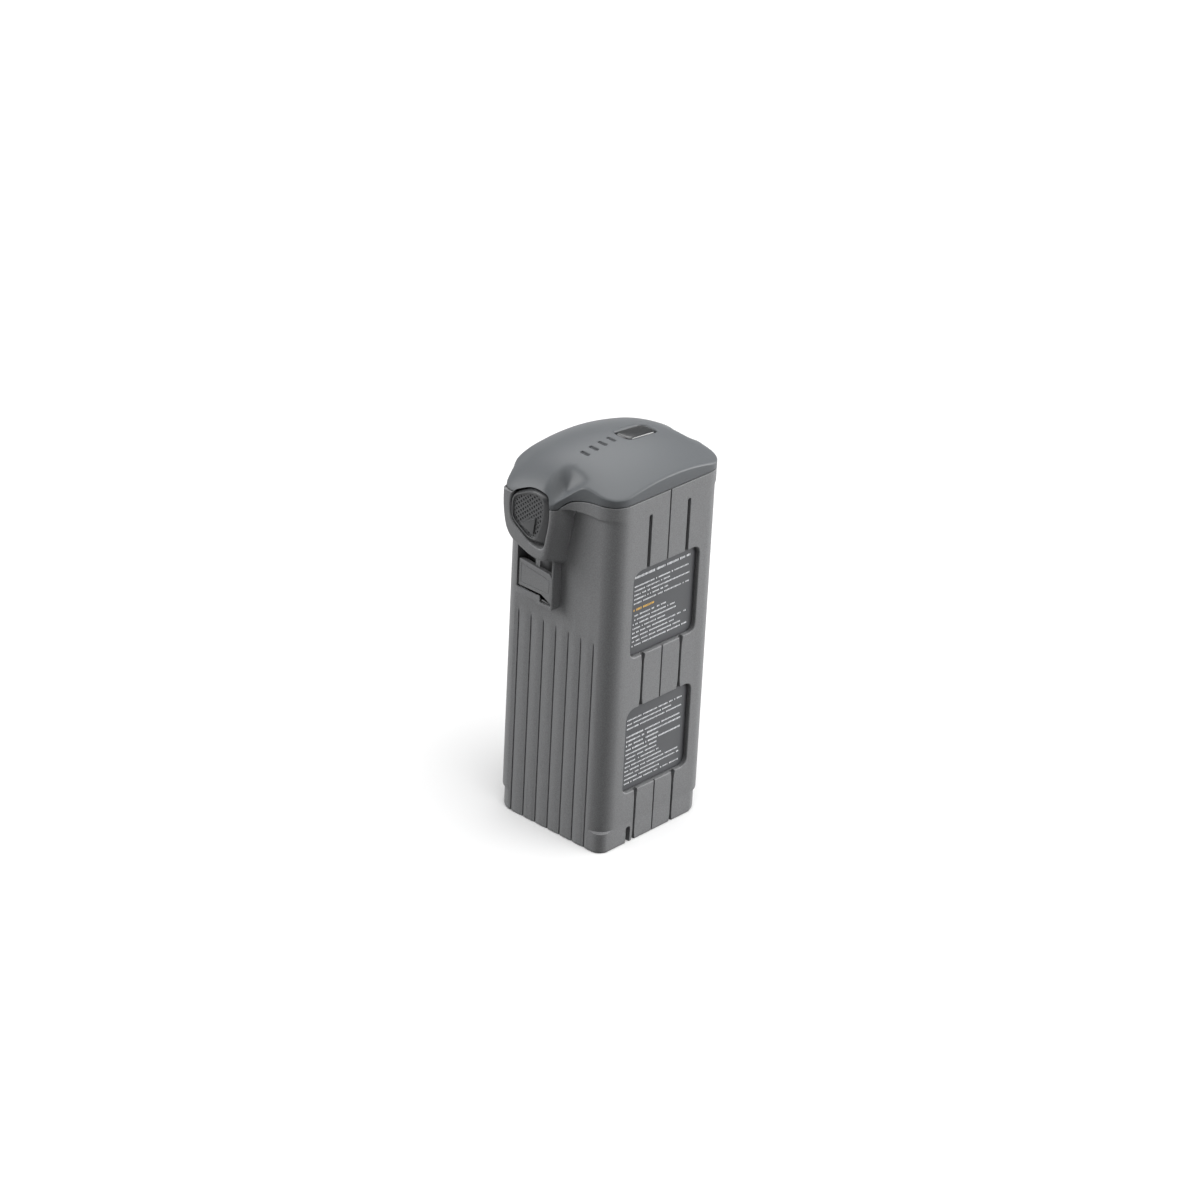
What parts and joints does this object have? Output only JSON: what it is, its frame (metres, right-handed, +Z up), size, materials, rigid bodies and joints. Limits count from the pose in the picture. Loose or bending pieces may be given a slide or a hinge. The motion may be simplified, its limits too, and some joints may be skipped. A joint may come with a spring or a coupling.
{
  "type": "drone battery pack",
  "caption": "Removable smart battery pack with ribbed sleeve, domed cap, power key, charge lights and two squeeze latches for a folding camera drone.",
  "frame": {"origin": "middle of the base's bounding rectangle, on the surface the pack stands on", "axes": "+Z up along the pack from the connector end to the domed cap; -Y towards the label face; -X and +X towards the two squeeze latches"},
  "size_m": [0.0606, 0.0442, 0.1239],
  "materials": {
    "shell_plastic": "fine-grained satin matte, dark grey",
    "cap_plastic": "smooth satin matte, mid grey",
    "grip_plastic": "matte, cross-hatched",
    "key_plastic": "polished dark grey",
    "label_film": "printed satin film",
    "frame_plastic": "black moulded",
    "lens_plastic": "smoked, glossy",
    "pouch_foil": "satin laminate foil",
    "foam": "closed-cell foam",
    "board_laminate": "green solder mask",
    "chip_epoxy": "black moulded epoxy",
    "spring_steel": "bright",
    "nickel": "bright strip",
    "contact_gold": "gold flash",
    "flex_film": "amber polyimide"
  },
  "bodies": {
    "pack": {"outer_shell": "shell_plastic", "top_cap": "cap_plastic", "light_guide": "lens_plastic", "left_latch_spring": "spring_steel", "right_latch_spring": "spring_steel", "upper_label": "label_film", "lower_label": "label_film", "pouch_cell_1": "pouch_foil", "pouch_cell_2": "pouch_foil", "pouch_cell_3": "pouch_foil", "pouch_cell_4": "pouch_foil", "cell_pad_1": "foam", "cell_pad_2": "foam", "cell_pad_3": "foam", "series_link_1": "nickel", "series_link_2": "nickel", "series_link_3": "nickel", "upper_cell_frame": "frame_plastic", "lower_cell_frame": "frame_plastic", "main_board": "board_laminate", "board_screw_1": "spring_steel", "board_screw_2": "spring_steel", "board_screw_3": "spring_steel", "board_screw_4": "spring_steel", "tact_switch": "spring_steel", "led_chip_1": "lens_plastic", "led_chip_2": "lens_plastic", "led_chip_3": "lens_plastic", "led_chip_4": "lens_plastic", "controller_chip": "chip_epoxy", "protection_fet_1": "chip_epoxy", "protection_fet_2": "chip_epoxy", "fuse": "chip_epoxy", "connector_housing": "frame_plastic", "contact_blade_1": "contact_gold", "contact_blade_2": "contact_gold", "contact_blade_3": "contact_gold", "contact_blade_4": "contact_gold", "contact_blade_5": "contact_gold", "contact_blade_6": "contact_gold", "connector_board": "board_laminate", "positive_lead": "nickel", "negative_lead": "nickel", "flex_cable": "flex_film", "thermistor": "chip_epoxy"},
    "power_key": {"power_button": "key_plastic"},
    "left_latch": {"left_latch_arm": "shell_plastic", "left_grip_pad": "grip_plastic"},
    "right_latch": {"right_latch_arm": "shell_plastic", "right_grip_pad": "grip_plastic"}
  },
  "joints": [
    {"name": "left_latch_squeeze", "type": "slide", "parent": "pack", "child": "left_latch", "axis": [1, 0, 0], "range_m": [0, 0.0022], "stiffness_N_per_m": 400, "springref_m": -0.003, "deforming": ["left_latch_spring"]},
    {"name": "right_latch_squeeze", "type": "slide", "parent": "pack", "child": "right_latch", "axis": [-1, 0, 0], "range_m": [0, 0.0022], "stiffness_N_per_m": 400, "springref_m": -0.003, "deforming": ["right_latch_spring"]},
    {"name": "power_key_press", "type": "slide", "parent": "pack", "child": "power_key", "axis": [0, 0, -1], "range_m": [0, 0.0005], "stiffness_N_per_m": 100, "springref_m": -0.002}
  ]
}
